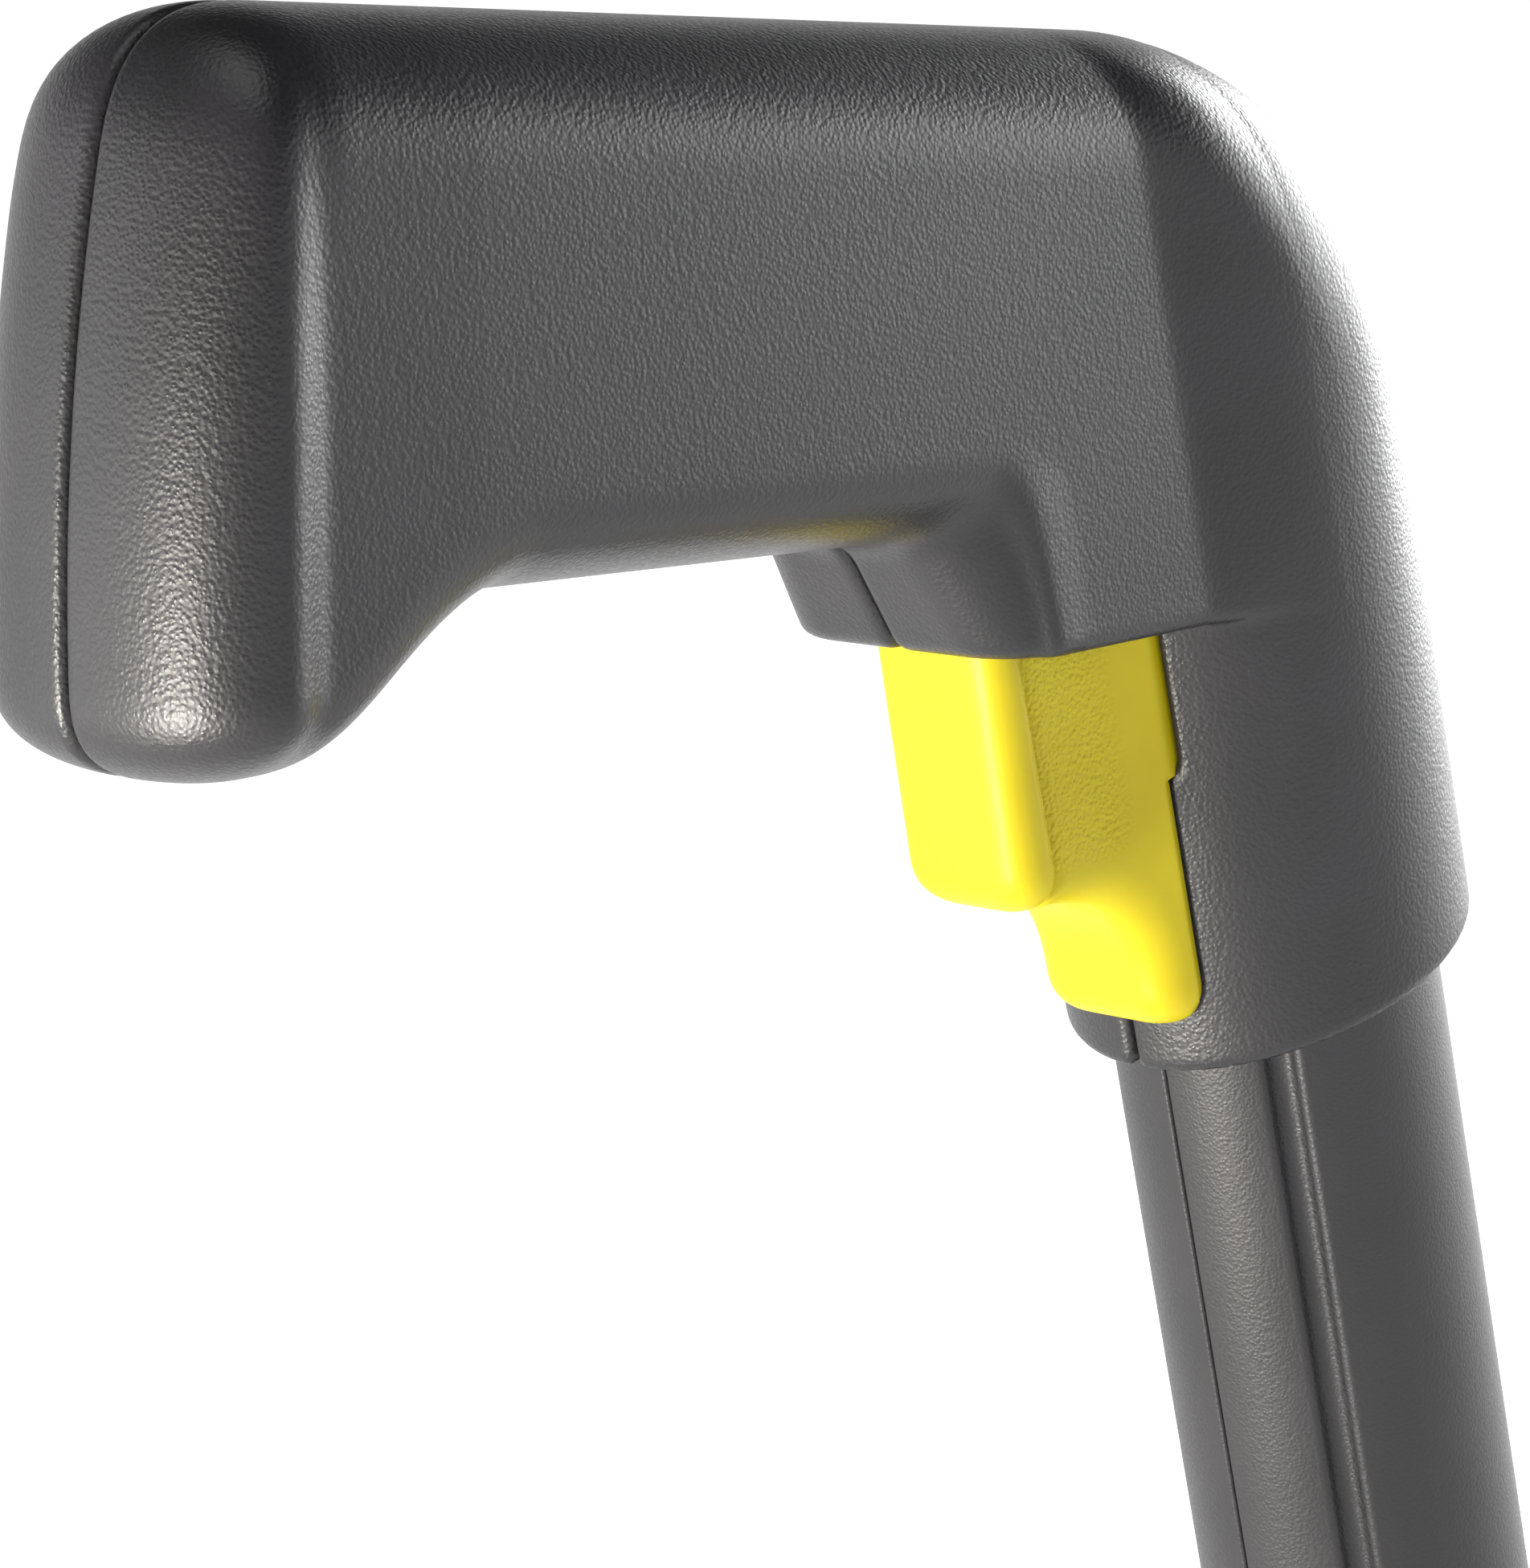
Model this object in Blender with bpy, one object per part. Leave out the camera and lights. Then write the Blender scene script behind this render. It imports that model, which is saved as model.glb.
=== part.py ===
"""Trigger handle and upper column section of a commercial spot extractor.

The frame has +Z up along the column, its origin at the centre of the column's lower end,
-X towards the user's hand and the parting plane of all moulded halves at Y = 0.
Sizes are in millimetres; every mesh is scaled to metres when it is made.
"""
import math
from collections import namedtuple

import bmesh
import bpy
from mathutils import Matrix, Vector

MM = 0.001
GAP = 0.3                   # clearance left between neighbouring pieces
HALF_GAP = GAP / 2

# Column: two moulded halves with a guide groove in each
COLUMN_RADIUS = 16.0
COLUMN_WALL = 2.5
COLUMN_BORE = COLUMN_RADIUS - COLUMN_WALL
COLUMN_FOOT = 3.0           # height of the end plug's flange
GROOVE_ANGLE = 43.0         # degrees from the user's side
GROOVE_RADIUS = 1.3
RIM_HEIGHT = 200.0          # the housing's lower rim, measured on the column's axis
COLUMN_TOP = RIM_HEIGHT + 21.0

# Housing: barrel around the column, then a rising grip with a flared end
BARREL_RADIUS = 19.7
HOUSING_WALL = 2.6
SOCKET_RADIUS = COLUMN_RADIUS + GAP
SOCKET_DEPTH = 22.0
RIM_SLOPE = 0.205
GRIP_ANGLE = math.radians(14.0)
GRIP_TOP = 88.9             # heights of the grip's lines, square to its own slope
GRIP_UNDERSIDE = 42.3
GRIP_HALF_WIDTH = 16.9
CORNER_RADIUS = 41.0
INNER_CORNER_RADIUS = 7.0
POMMEL_HALF_WIDTH = 20.0
POMMEL_UNDERSIDE = 29.2
POMMEL_EDGE = 9.0
POMMEL_FACE = 134.0         # the end face's distance along the grip, midway down
POMMEL_LEAN = 3.5           # half of the end face's lean, bottom ahead of top

# Nose under the inner corner, which hides the trigger's upper end
NOSE_HALF_WIDTH = 13.2
NOSE_EDGE = 4.0
PASSAGE_HALF_WIDTH = 9.4
PASSAGE_BOTTOM = 24.5
PASSAGE_TOP = 66.0
PASSAGE_FRONT = -37.9

# Trigger, at rest
TRIGGER_TRAVEL = 9.0
PAD_FRONT = -37.0
PAD_HALF_WIDTH = 8.0
PAD_BOTTOM = 17.0
PAD_TOP = 46.0
FLAP_HALF_WIDTH = 9.0
FLAP_BOTTOM = 0.8
FLAP_OUTER = 23.4
CARRIAGE_BOTTOM = 29.0
CARRIAGE_TOP = 40.0

# Pull rod and lock
ROD_RADIUS = 2.5
ROD_BOTTOM = 50.0
ROD_TOP = RIM_HEIGHT + 56.0
LOCK_HEIGHT = 30.0
LOCK_PIN_RADIUS = 4.0
LOCK_PIN_TIP = 20.0
LOCK_BUSH_RADIUS = 5.5
LOCK_TRAVEL = 4.0
LOCK_SLOPE = LOCK_TRAVEL / TRIGGER_TRAVEL
PEG_X = 6.0
PEG_RADIUS = 1.5
CAM_THICKNESS = 2.4
SPRING_SEAT = RIM_HEIGHT + 62.0

# Screws across the housing: x and height, chosen clear of the trigger's mechanism
GRIP_SCREWS = ((124.0, 78.0), (124.0, 40.0), (84.0, 65.0), (50.0, 73.0))   # along and square to the grip
BARREL_SCREW = (11.6, 50.0)
COLUMN_SCREWS = ((9.3, 100.0), (-6.8, 100.0), (9.3, 170.0), (-6.8, 170.0))
CROSS_PIN = (6.2, RIM_HEIGHT + 9.0)
CROSS_PIN_RADIUS = 2.0
CROSS_PIN_END = 16.6        # short of the housing's curved outer wall
HANDLE_SCREW = {"shank": 1.7, "head": 3.4, "seat": 9.0, "tip": -8.0}
BARREL_SCREW_SIZE = {"shank": 1.7, "head": 3.4, "seat": 5.6, "tip": -8.0}
COLUMN_SCREW = {"shank": 1.3, "head": 2.4, "seat": 7.0, "tip": -7.0}

GREY = (0.065, 0.065, 0.070)
YELLOW = (0.87, 0.74, 0.03)


# ---------------------------------------------------------------- materials and mesh helpers

def material(name, colour, roughness, metallic=0.0):
    """A plain Principled material."""
    made = bpy.data.materials.new(name)
    made.use_nodes = True
    shader = made.node_tree.nodes["Principled BSDF"]
    shader.inputs["Base Color"].default_value = (*colour, 1.0)
    shader.inputs["Roughness"].default_value = roughness
    shader.inputs["Metallic"].default_value = metallic
    made.diffuse_color = (*colour, 1.0)
    return made


def finish(name, mesh_builder, look, sharp=35.0):
    """Turn a bmesh in millimetres into a named object in metres."""
    bmesh.ops.remove_doubles(mesh_builder, verts=mesh_builder.verts, dist=1e-4)
    bmesh.ops.recalc_face_normals(mesh_builder, faces=mesh_builder.faces)
    bmesh.ops.scale(mesh_builder, vec=(MM, MM, MM), verts=mesh_builder.verts)
    mesh = bpy.data.meshes.new(name)
    mesh_builder.to_mesh(mesh)
    mesh_builder.free()
    mesh.shade_smooth()
    mesh.set_sharp_from_angle(angle=math.radians(sharp))
    made = bpy.data.objects.new(name, mesh)
    bpy.context.scene.collection.objects.link(made)
    if look is not None:
        mesh.materials.append(look)
    return made


def add_loft(mesh_builder, rings):
    """Skin closed rings of equal length and cap both ends."""
    loops = [[mesh_builder.verts.new(point) for point in ring] for ring in rings]
    count = len(loops[0])
    for lower, upper in zip(loops, loops[1:]):
        for i in range(count):
            j = (i + 1) % count
            mesh_builder.faces.new((lower[i], lower[j], upper[j], upper[i]))
    mesh_builder.faces.new(list(reversed(loops[0])))
    mesh_builder.faces.new(loops[-1])


def loft(rings):
    """A new bmesh holding one loft."""
    made = bmesh.new()
    add_loft(made, rings)
    return made


def prism(outline, start, end, axis="Z"):
    """Extrude an outline: (x, y) along Z, (x, z) along Y or (y, z) along X."""
    def place(a, b, along):
        if axis == "Z":
            return (a, b, along)
        if axis == "Y":
            return (a, along, b)
        return (along, a, b)
    return loft([[place(a, b, along) for a, b in outline] for along in (start, end)])


def circle(radius, count, centre=(0.0, 0.0), turn=0.0):
    """Points round a circle."""
    points = []
    for i in range(count):
        angle = turn + 2 * math.pi * i / count
        points.append((centre[0] + radius * math.cos(angle), centre[1] + radius * math.sin(angle)))
    return points


def cylinder(radius, start, end, centre=(0.0, 0.0), axis="Z", count=24):
    """A plain cylinder along an axis."""
    return prism(circle(radius, count, centre), start, end, axis)


def turned(profile, count=24):
    """Revolve a closed profile of (radius, z) about Z; a radius of zero makes a pole."""
    made = bmesh.new()
    columns = []
    for i in range(count):
        angle = 2 * math.pi * i / count
        columns.append([made.verts.new((r * math.cos(angle), r * math.sin(angle), z)) for r, z in profile])
    for i in range(count):
        here = columns[i]
        after = columns[(i + 1) % count]
        for j in range(len(profile)):
            k = (j + 1) % len(profile)
            if profile[j][0] == 0.0 and profile[k][0] == 0.0:
                continue
            made.faces.new((here[j], after[j], after[k], here[k]))
    bmesh.ops.remove_doubles(made, verts=made.verts, dist=1e-4)
    bmesh.ops.dissolve_degenerate(made, edges=made.edges, dist=1e-5)
    return made


def box(low, high):
    """A rectangular block between two corners."""
    outline = ((low[0], low[1]), (high[0], low[1]), (high[0], high[1]), (low[0], high[1]))
    return prism(outline, low[2], high[2])


def move(mesh_builder, offset=(0, 0, 0), turn=None):
    """Turn, then shift, every vertex."""
    if turn is not None:
        bmesh.ops.transform(mesh_builder, matrix=turn, verts=mesh_builder.verts)
    bmesh.ops.translate(mesh_builder, vec=Vector(offset), verts=mesh_builder.verts)
    return mesh_builder


def combine(base, tools, operation):
    """Apply one exact Boolean after another, and delete the tools."""
    for number, tool_mesh in enumerate(tools):
        tool = finish(f"{base.name}.tool{number}", tool_mesh, None)
        tool.hide_render = True
        tool.display_type = "WIRE"
        cut = base.modifiers.new(operation.lower(), "BOOLEAN")
        cut.operation = operation
        cut.solver = "EXACT"
        cut.object = tool
        bpy.context.view_layer.update()
        graph = bpy.context.evaluated_depsgraph_get()
        result = bpy.data.meshes.new_from_object(base.evaluated_get(graph))
        base.modifiers.clear()
        old = base.data
        base.data = result
        result.name = base.name
        bpy.data.meshes.remove(old)
        bpy.data.objects.remove(tool)
    base.data.shade_smooth()
    base.data.set_sharp_from_angle(angle=math.radians(35.0))
    return base


# ---------------------------------------------------------------- housing outline

def grip_point(along, up):
    """A point of the parting plane given in the grip's own sloping axes."""
    x = -along * math.cos(GRIP_ANGLE) + up * math.sin(GRIP_ANGLE)
    z = along * math.sin(GRIP_ANGLE) + up * math.cos(GRIP_ANGLE)
    return Vector((x, z + RIM_HEIGHT))


def arc(centre, radius, start, end, count):
    """Points on an arc in the parting plane, angles in degrees from +X."""
    points = []
    for i in range(count):
        angle = math.radians(start + (end - start) * i / (count - 1))
        points.append(centre + radius * Vector((math.cos(angle), math.sin(angle))))
    return points


def ease(value, low, high):
    """Smooth step from 0 at low to 1 at high."""
    t = min(max((value - low) / (high - low), 0.0), 1.0)
    return t * t * (3 - 2 * t)


Station = namedtuple("Station", "outer inner half_width wall exponent setback")


def barrel_stations():
    """The straight barrel, thick over the column's socket, with a sloping rim."""
    lift = RIM_SLOPE * BARREL_RADIUS
    socket_wall = BARREL_RADIUS - SOCKET_RADIUS
    heights = ((0.0, socket_wall), (SOCKET_DEPTH, socket_wall),
               (SOCKET_DEPTH + 1.0, HOUSING_WALL), (33.0, HOUSING_WALL))
    for height, wall in heights:
        outer = Vector((BARREL_RADIUS, RIM_HEIGHT + height + lift))
        inner = Vector((-BARREL_RADIUS, RIM_HEIGHT + height - lift))
        yield Station(outer, inner, BARREL_RADIUS, wall, 2.0, 0.0)


def corner_arc(x, up, radius, count):
    """A quarter-turn between the column's direction and the grip's, tangent to x and to a grip line."""
    centre_x = x - radius
    centre_z = (up - radius - centre_x * math.sin(GRIP_ANGLE)) / math.cos(GRIP_ANGLE)
    centre = Vector((centre_x, centre_z + RIM_HEIGHT))
    return arc(centre, radius, 0.0, 90.0 - math.degrees(GRIP_ANGLE), count)


def corner_stations(count=9):
    """The fan of sections from the round barrel to the flat-sided grip."""
    outer_arc = corner_arc(BARREL_RADIUS, GRIP_TOP, CORNER_RADIUS, count)
    inner_arc = corner_arc(-BARREL_RADIUS, GRIP_UNDERSIDE, INNER_CORNER_RADIUS, count)
    for i, (outer, inner) in enumerate(zip(outer_arc, inner_arc)):
        turn = ease(i, 0, count - 1)
        half_width = BARREL_RADIUS + (GRIP_HALF_WIDTH - BARREL_RADIUS) * turn
        yield Station(outer, inner, half_width, HOUSING_WALL, 2.0 + 0.7 * turn, 0.0)


def grip_stations():
    """The straight grip and the flare down into the pommel."""
    for along in (52.0, 74.0, 98.0, 104.0, 109.0, 114.0, 120.0):
        drop = ease(along, 98.0, 122.0)
        swell = ease(along, 104.0, 122.0)
        up = GRIP_UNDERSIDE + (POMMEL_UNDERSIDE - GRIP_UNDERSIDE) * drop
        half_width = GRIP_HALF_WIDTH + (POMMEL_HALF_WIDTH - GRIP_HALF_WIDTH) * swell
        outer = grip_point(along - POMMEL_LEAN * drop, GRIP_TOP)
        inner = grip_point(along + POMMEL_LEAN * drop, up)
        yield Station(outer, inner, half_width, HOUSING_WALL, 2.7 - 0.2 * drop, 0.0)


def pommel_stations(count=6):
    """The rounded edge round the pommel's end face."""
    for i in range(count):
        angle = math.radians(88.0 * i / (count - 1))
        ahead = POMMEL_FACE - POMMEL_EDGE + POMMEL_EDGE * math.sin(angle)
        inset = POMMEL_EDGE * (1 - math.cos(angle))
        outer = grip_point(ahead - POMMEL_LEAN, GRIP_TOP - inset)
        inner = grip_point(ahead + POMMEL_LEAN, POMMEL_UNDERSIDE + inset)
        half_width = POMMEL_HALF_WIDTH - inset
        yield Station(outer, inner, half_width, HOUSING_WALL, 2.5, HOUSING_WALL * math.sin(angle))


def half_section(station, side, inset, count=14):
    """Half of a superellipse on one side of the parting plane, drawn in by inset."""
    back = grip_point(-1.0, 0.0) - grip_point(0.0, 0.0)
    setback = back * station.setback if inset > 0 else Vector((0.0, 0.0))
    centre = (station.outer + station.inner) / 2 + setback
    reach = (station.outer - station.inner) / 2
    reach = reach * (1 - inset / reach.length)
    points = []
    for i in range(count + 1):
        angle = math.pi * i / count
        along = math.copysign(abs(math.cos(angle)) ** (2 / station.exponent), math.cos(angle))
        across = max(math.sin(angle), 0.0) ** (2 / station.exponent)
        place = centre + reach * along
        out = HALF_GAP + across * (station.half_width - inset - HALF_GAP)
        points.append((place.x, side * out, place.y))
    return points


def housing_stations():
    """All sections of the housing, from the rim to the pommel's end face."""
    return [*barrel_stations(), *corner_stations(), *grip_stations(), *pommel_stations()]


def housing_bowl(side):
    """One half of the hollow housing, open at the rim and on the parting plane."""
    made = bmesh.new()
    skins = []
    for hollow in (False, True):
        rings = []
        for station in housing_stations():
            ring = half_section(station, side, station.wall if hollow else 0.0)
            rings.append([made.verts.new(point) for point in ring])
        skins.append(rings)
    for rings in skins:
        for low, high in zip(rings, rings[1:]):
            for j in range(len(low) - 1):
                made.faces.new((low[j], low[j + 1], high[j + 1], high[j]))
        made.faces.new(rings[-1])
    outer, inner = skins
    for j in range(len(outer[0]) - 1):
        made.faces.new((outer[0][j], outer[0][j + 1], inner[0][j + 1], inner[0][j]))
    for end in (0, -1):
        for i in range(len(outer) - 1):
            made.faces.new((outer[i][end], outer[i + 1][end], inner[i + 1][end], inner[i][end]))
    made.faces.new((outer[-1][0], outer[-1][-1], inner[-1][-1], inner[-1][0]))
    return made


def housing_core(side):
    """A solid half that reaches the middle of the housing's wall, for trimming posts and ribs."""
    return loft([half_section(station, side, 0.5 * HOUSING_WALL) for station in housing_stations()])


# ---------------------------------------------------------------- housing shells

def across(side, near, far):
    """Start and end along Y on one side of the parting plane."""
    return (near, far) if side > 0 else (-far, -near)


def block(side, x, near, far, z):
    """A rib on one side, between x limits and z limits above the rim."""
    low, high = across(side, near, far)
    return box((x[0], low, z[0] + RIM_HEIGHT), (x[1], high, z[1] + RIM_HEIGHT))


def nose_block(side):
    """Half of the rounded nose under the inner corner."""
    outline = ((-46.0, 59.0), (-45.2, 54.4), (-42.9, 50.2), (-40.9, 45.2), (-39.6, 43.9),
               (-11.5, 38.2), (-11.5, 60.0))
    outline = [(x, z + RIM_HEIGHT) for x, z in outline]
    low, high = across(side, HALF_GAP, NOSE_HALF_WIDTH)
    made = prism(outline, low, high, "Y")
    limit = NOSE_HALF_WIDTH - 0.01
    outer_edges = [edge for edge in made.edges if all(abs(vert.co.y) > limit for vert in edge.verts)]
    bmesh.ops.bevel(made, geom=outer_edges, offset=NOSE_EDGE, segments=4, profile=0.5, affect="EDGES",
                    clamp_overlap=True)
    return made


def screw_places():
    """Each housing screw's x, height and size."""
    places = []
    for along, up in GRIP_SCREWS:
        point = grip_point(along, up)
        places.append((point.x, point.y, HANDLE_SCREW))
    places.append((BARREL_SCREW[0], BARREL_SCREW[1] + RIM_HEIGHT, BARREL_SCREW_SIZE))
    return places


def drill(side, x, z, near, far, radius):
    """A round cutter or post along Y on one side."""
    low, high = across(side, near, far)
    return cylinder(radius, low, high, (x, z), "Y", 20)


def fixing_cutters(side, x, z, size):
    """Holes for one screw: blind on the right half, through with a head recess on the left."""
    clearance = size["shank"] + GAP
    if side < 0:
        return [drill(side, x, z, -1.0, -size["tip"] + 1.0, clearance)]
    return [drill(side, x, z, -1.0, size["seat"] + 1.0, clearance),
            drill(side, x, z, size["seat"], 30.0, size["head"] + GAP)]


def handle_shell(side, name, look):
    """One half of the housing with its nose, posts, ribs and openings."""
    shell = finish(name, housing_bowl(side), look)
    posts = []
    for x, z, size in screw_places():
        posts.append(drill(side, x, z, -1.0, 30.0, size["head"] + 1.8))
    posts.append(block(side, (-5.0, 3.0), PASSAGE_HALF_WIDTH - 0.8, 30.0, (25.0, 60.0)))
    posts.append(block(side, (-9.0, 9.0), 3.4, 30.0, (64.4, 67.0)))
    inner = finish(name + ".inner", posts[0], look)
    combine(inner, posts[1:], "UNION")
    combine(inner, [housing_core(side)], "INTERSECT")
    graft(shell, inner)
    combine(shell, [nose_block(side)], "UNION")
    low, high = (-PASSAGE_HALF_WIDTH, PASSAGE_HALF_WIDTH)
    passage = box((PASSAGE_FRONT, low, RIM_HEIGHT + PASSAGE_BOTTOM), (-8.0, high, RIM_HEIGHT + PASSAGE_TOP))
    cutters = [passage]
    for x, z, size in screw_places():
        cutters += fixing_cutters(side, x, z, size)
    pin_hole_end = 30.0 if side > 0 else CROSS_PIN_END + GAP
    cutters.append(drill(side, *CROSS_PIN, -1.0, pin_hole_end, CROSS_PIN_RADIUS + GAP))
    return combine(shell, cutters, "DIFFERENCE")


def graft(base, addition):
    """Union an object into another and delete it."""
    tool = bmesh.new()
    tool.from_mesh(addition.data)
    bmesh.ops.scale(tool, vec=(1 / MM, 1 / MM, 1 / MM), verts=tool.verts)
    bpy.data.objects.remove(addition)
    combine(base, [tool], "UNION")


# ---------------------------------------------------------------- column

def column_profile(side, inset=0.0):
    """Cross-section of one column half: outer arc with its guide groove, then the bore."""
    outer = []
    start = math.degrees(math.asin(HALF_GAP / COLUMN_RADIUS))
    groove_half = math.degrees(2 * math.asin(GROOVE_RADIUS / (2 * COLUMN_RADIUS)))
    before = GROOVE_ANGLE - groove_half
    after = GROOVE_ANGLE + groove_half
    for i in range(8):
        outer.append(column_point(start + (before - start) * i / 8, COLUMN_RADIUS - inset))
    for i in range(9):
        turn = math.pi * i / 8
        depth = GROOVE_RADIUS * math.sin(turn)
        swing = groove_half * math.cos(turn)
        outer.append(column_point(GROOVE_ANGLE - swing, COLUMN_RADIUS - inset - depth))
    for i in range(1, 25):
        outer.append(column_point(after + (180.0 - start - after) * i / 24, COLUMN_RADIUS - inset))
    return [(x, side * y) for x, y in outer]


def column_point(angle, radius):
    """A point round the column, angle in degrees from the user's side."""
    turn = math.radians(angle)
    return (-radius * math.cos(turn), radius * math.sin(turn))


def column_half(side, name, look):
    """One half of the column with its screw posts and holes."""
    bore_start = math.degrees(math.asin(HALF_GAP / COLUMN_BORE))
    bore = []
    for i in range(25):
        x, y = column_point(180.0 - bore_start - (180.0 - 2 * bore_start) * i / 24, COLUMN_BORE)
        bore.append((x, side * y))
    half = finish(name, prism(column_profile(side) + bore, COLUMN_FOOT, COLUMN_TOP), look)
    posts = [drill(side, x, z, -1.0, 30.0, COLUMN_SCREW["head"] + 1.3) for x, z in COLUMN_SCREWS]
    inner = finish(name + ".inner", posts[0], look)
    combine(inner, posts[1:], "UNION")
    combine(inner, [prism(column_profile(side, 1.0), COLUMN_FOOT, COLUMN_TOP)], "INTERSECT")
    graft(half, inner)
    cutters = []
    for x, z in COLUMN_SCREWS:
        cutters += fixing_cutters(side, x, z, COLUMN_SCREW)
    cutters.append(drill(side, *CROSS_PIN, -1.0, 30.0, CROSS_PIN_RADIUS + GAP))
    cutters.append(cylinder(LOCK_BUSH_RADIUS + GAP, 5.0, 30.0, (0.0, LOCK_HEIGHT), "X"))
    return combine(half, cutters, "DIFFERENCE")


def column_end_plug(look):
    """Flanged cup that closes the column's lower end."""
    flange = COLUMN_FOOT - GAP
    spigot = COLUMN_BORE - GAP
    profile = ((0.0, 0.0), (15.2, 0.0), (COLUMN_RADIUS, 0.8), (COLUMN_RADIUS, flange), (spigot, flange),
               (spigot, 12.0), (spigot - 2.0, 12.0), (spigot - 2.0, 5.0), (0.0, 5.0))
    return finish("column_end_plug", turned(profile, 48), look)


def rod_guide(name, bottom, look):
    """Disc that centres the pull rod in the column."""
    rim = COLUMN_BORE - GAP
    bore = ROD_RADIUS + GAP
    floor = bottom + 3.0
    top = bottom + 6.0
    profile = ((bore, bottom), (rim - 0.5, bottom), (rim, bottom + 0.5), (rim, top), (rim - 2.5, top),
               (rim - 2.5, floor), (5.0, floor), (5.0, top), (bore, top))
    return finish(name, turned(profile, 32), look)


# ---------------------------------------------------------------- trigger and pull rod

def above_rim(*heights):
    """Heights given above the housing's rim, in the part's own frame."""
    return [RIM_HEIGHT + height for height in heights]


def trigger_pad():
    """Finger pad: a block with rounded upright edges and a rounded lower end."""
    outline = ((-27.0, -7.0), (-33.0, -PAD_HALF_WIDTH), (-36.0, -PAD_HALF_WIDTH), (-36.8, -7.5),
               (PAD_FRONT, -6.4), (PAD_FRONT, 6.4), (-36.8, 7.5), (-36.0, PAD_HALF_WIDTH),
               (-33.0, PAD_HALF_WIDTH), (-27.0, 7.0))
    bottom, top = above_rim(PAD_BOTTOM, PAD_TOP)
    rings = []
    for i in range(5):
        angle = math.radians(90.0 * i / 4)
        inset = 3.0 * (1 - math.sin(angle))
        height = bottom + 3.0 * (1 - math.cos(angle))
        scale = 1 - inset / 8
        rings.append([(-32.0 + (x + 32.0) * scale, y * scale, height) for x, y in outline])
    rings.append([(x, y, top) for x, y in outline])
    return loft(rings)


def trigger_neck():
    """Web that flares from the pad back to the window's edges."""
    side = []
    for i in range(7):
        t = i / 6
        side.append((-32.5 + 14.5 * t, 6.9 + (FLAP_HALF_WIDTH - 6.9) * t ** 2.2))
    outline = [(x, -y) for x, y in side] + [(-13.0, -8.6), (-13.0, 8.6)] + [(x, y) for x, y in reversed(side)]
    bottom, top = above_rim(PASSAGE_BOTTOM + 0.5, PAD_TOP)
    return prism(outline, bottom, top)


def trigger_flap():
    """Apron below the window, curved round the barrel, with a finger hollow above it."""
    bottom = FLAP_BOTTOM
    wide = FLAP_HALF_WIDTH
    levels = ((bottom, 7.0, FLAP_OUTER - 1.2), (bottom + 1.0, 8.2, FLAP_OUTER - 0.3),
              (bottom + 3.0, wide, FLAP_OUTER), (9.0, wide, FLAP_OUTER + 0.3), (13.0, wide, 24.6),
              (16.0, wide, 27.0), (18.0, 8.6, 30.5), (20.0, 8.0, 33.0), (24.3, 7.6, 33.0))
    rings = []
    for height, half_width, front in levels:
        outer = []
        inner = []
        for i in range(9):
            y = half_width * (i / 4 - 1)
            crown = 0.10 * y * y / half_width
            outer.append((-front + crown, y, RIM_HEIGHT + height))
            inner.append((-math.sqrt((BARREL_RADIUS + GAP) ** 2 - y * y), y, RIM_HEIGHT + height))
        rings.append(outer + inner[::-1])
    return loft(rings)


def trigger(look):
    """The sliding trigger with its carriage inside the barrel."""
    made = finish("trigger", trigger_pad(), look)
    low, high = above_rim(CARRIAGE_BOTTOM, CARRIAGE_TOP)
    link_low, link_high = above_rim(21.5, 25.4)
    web = box((-30.0, -6.6, link_low), (-22.0, 6.6, link_high))
    carriage = box((-15.0, -8.2, low), (6.5, 8.2, high))
    combine(made, [trigger_neck(), trigger_flap(), web, carriage], "UNION")
    return combine(made, [cylinder(ROD_RADIUS + GAP, low - 5.0, high + 5.0)], "DIFFERENCE")


def coil_spring(name, look, radius, wire, length, turns, place):
    """Round-wire compression spring along Z, then moved into place by a matrix."""
    steps = int(turns * 16)
    centres = []
    for i in range(steps + 1):
        t = i / steps
        angle = 2 * math.pi * turns * t
        height = wire + (length - 2 * wire) * t
        centres.append(Vector((radius * math.cos(angle), radius * math.sin(angle), height)))
    rings = []
    for i, centre in enumerate(centres):
        angle = 2 * math.pi * turns * i / steps
        outward = Vector((math.cos(angle), math.sin(angle), 0.0))
        ring = []
        for j in range(6):
            turn = 2 * math.pi * j / 6
            ring.append(centre + outward * wire * math.cos(turn) + Vector((0, 0, wire * math.sin(turn))))
        rings.append(ring)
    made = loft(rings)
    bmesh.ops.transform(made, matrix=place, verts=made.verts)
    return finish(name, made, look, 60.0)


def ring(name, look, bore, rim, bottom, top, count=24):
    """A flat ring on the column's axis."""
    profile = ((bore, bottom), (rim, bottom), (rim, top), (bore, top))
    return finish(name, turned(profile, count), look)


def hex_nut(name, look, across_corners, bottom, top):
    """Hexagon nut on the column's axis."""
    nut = finish(name, cylinder(across_corners, bottom, top, count=6), look)
    return combine(nut, [cylinder(ROD_RADIUS + GAP, bottom - 1, top + 1)], "DIFFERENCE")


def pull_rod(look):
    """Steel rod with chamfered ends."""
    edge = 0.6
    profile = ((0.0, ROD_BOTTOM), (ROD_RADIUS - edge, ROD_BOTTOM), (ROD_RADIUS, ROD_BOTTOM + edge),
               (ROD_RADIUS, ROD_TOP - edge), (ROD_RADIUS - edge, ROD_TOP), (0.0, ROD_TOP))
    return finish("pull_rod", turned(profile, 20), look)


# ---------------------------------------------------------------- lock

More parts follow.
